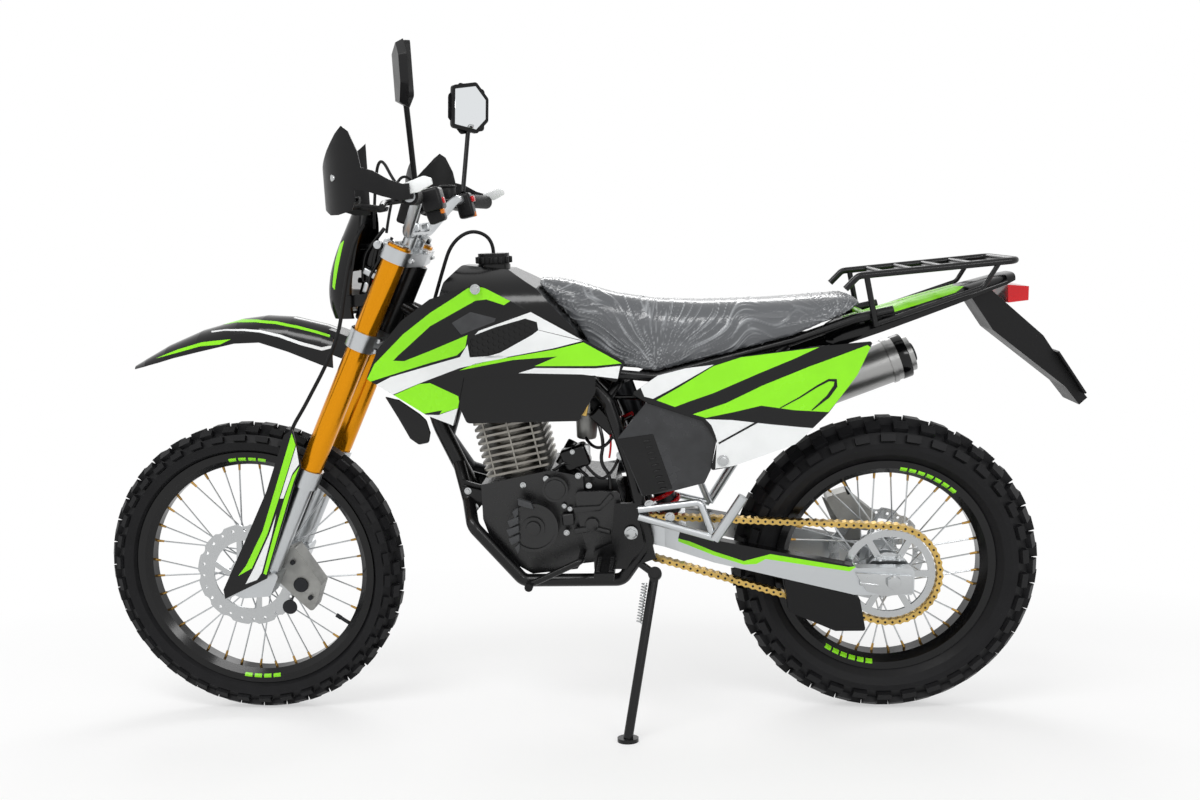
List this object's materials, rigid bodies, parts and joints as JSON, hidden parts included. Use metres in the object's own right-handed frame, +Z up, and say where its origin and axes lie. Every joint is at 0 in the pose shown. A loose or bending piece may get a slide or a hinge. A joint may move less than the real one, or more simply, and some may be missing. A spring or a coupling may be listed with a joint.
{
  "type": "trail motorcycle",
  "caption": "Off-road trail motorcycle with laced wheels, knobbly tyres, chain drive, long fork, handguards, slim seat and rear rack, leaning on its side stand.",
  "frame": {"origin": "on the ground, below the centre of the parked machine's bounding box", "axes": "+X to the front of the machine, +Y to its left as the rider sits, +Z up; the machine leans 11 degrees to its left about X"},
  "size_m": [2.2014, 0.8416, 1.4956],
  "materials": {
    "frame": "satin",
    "subframe": "satin",
    "engine_cases": "satin",
    "engine_cylinder": "cast",
    "engine_covers": "satin",
    "front_sprocket": "brushed",
    "carburettor": "cast",
    "exhaust_pipe": "brushed",
    "silencer": "brushed",
    "fuel_tank": "matte",
    "fuel_cap": "matte",
    "shrouds": "gloss",
    "seat": "grained vinyl",
    "side_panels": "gloss",
    "side_covers": "matte",
    "tail_fender": "gloss",
    "rear_rack": "satin",
    "plate_holder": "matte",
    "tail_lamp": "gloss",
    "swingarm": "cast",
    "pivot_bolt": "brushed",
    "chain": "satin gold plate",
    "chain_guide": "matte",
    "rear_axle": "brushed",
    "rear_shock": "satin",
    "rear_caliper": "cast",
    "footpegs": "satin",
    "passenger_pegs": "cast",
    "foot_controls": "satin",
    "vent_hose": "matte",
    "side_stand": "satin",
    "fork_clamps": "cast",
    "fork_tubes": "cast",
    "fork_legs": "cast",
    "fork_guards": "gloss",
    "front_fender": "gloss",
    "headlamp_mask": "gloss",
    "headlamp": "clear",
    "handlebar": "cast",
    "grips": "matte",
    "control_levers": "satin",
    "handguards": "matte",
    "mirrors": "matte",
    "front_caliper": "cast",
    "front_axle": "brushed",
    "front_tyre": "matte",
    "front_rim": "satin",
    "front_hub": "cast",
    "front_disc": "brushed",
    "rear_tyre": "matte",
    "rear_rim": "satin",
    "rear_hub": "cast",
    "rear_disc": "brushed",
    "rear_sprocket": "brushed"
  },
  "bodies": {
    "chassis": {"frame": "frame", "subframe": "subframe", "engine_cases": "engine_cases", "engine_cylinder": "engine_cylinder", "engine_covers": "engine_covers", "front_sprocket": "front_sprocket", "carburettor": "carburettor", "exhaust_pipe": "exhaust_pipe", "silencer": "silencer", "fuel_tank": "fuel_tank", "fuel_cap": "fuel_cap", "shrouds": "shrouds", "seat": "seat", "side_panels": "side_panels", "side_covers": "side_covers", "tail_fender": "tail_fender", "rear_rack": "rear_rack", "plate_holder": "plate_holder", "tail_lamp": "tail_lamp", "swingarm": "swingarm", "pivot_bolt": "pivot_bolt", "chain": "chain", "chain_guide": "chain_guide", "rear_axle": "rear_axle", "rear_shock": "rear_shock", "rear_caliper": "rear_caliper", "footpegs": "footpegs", "passenger_pegs": "passenger_pegs", "foot_controls": "foot_controls", "vent_hose": "vent_hose"},
    "side_stand": {"side_stand": "side_stand"},
    "steering": {"fork_clamps": "fork_clamps", "fork_tubes": "fork_tubes", "fork_legs": "fork_legs", "fork_guards": "fork_guards", "front_fender": "front_fender", "headlamp_mask": "headlamp_mask", "headlamp": "headlamp", "handlebar": "handlebar", "grips": "grips", "control_levers": "control_levers", "handguards": "handguards", "mirrors": "mirrors", "front_caliper": "front_caliper", "front_axle": "front_axle"},
    "front_wheel": {"front_tyre": "front_tyre", "front_rim": "front_rim", "front_hub": "front_hub", "front_disc": "front_disc"},
    "rear_wheel": {"rear_tyre": "rear_tyre", "rear_rim": "rear_rim", "rear_hub": "rear_hub", "rear_disc": "rear_disc", "rear_sprocket": "rear_sprocket"}
  },
  "joints": [
    {"name": "steering", "type": "hinge", "parent": "chassis", "child": "steering", "pos_m": [0.40883, -0.05396, 0.87476], "axis": [-0.4384, 0.1715, 0.8823], "range_deg": [-42, 42]},
    {"name": "front_wheel_spin", "type": "hinge", "parent": "steering", "child": "front_wheel", "pos_m": [0.755, -0.15762, 0.34152], "axis": [0, 0.9816, -0.1908], "continuous": true},
    {"name": "rear_wheel_spin", "type": "hinge", "parent": "chassis", "child": "rear_wheel", "pos_m": [-0.685, -0.15918, 0.33348], "axis": [0, 0.9816, -0.1908], "continuous": true},
    {"name": "side_stand_fold", "type": "hinge", "parent": "chassis", "child": "side_stand", "pos_m": [-0.177, -0.02361, 0.3339], "axis": [0, 0.9728, 0.2317], "range_deg": [0, 94]}
  ]
}
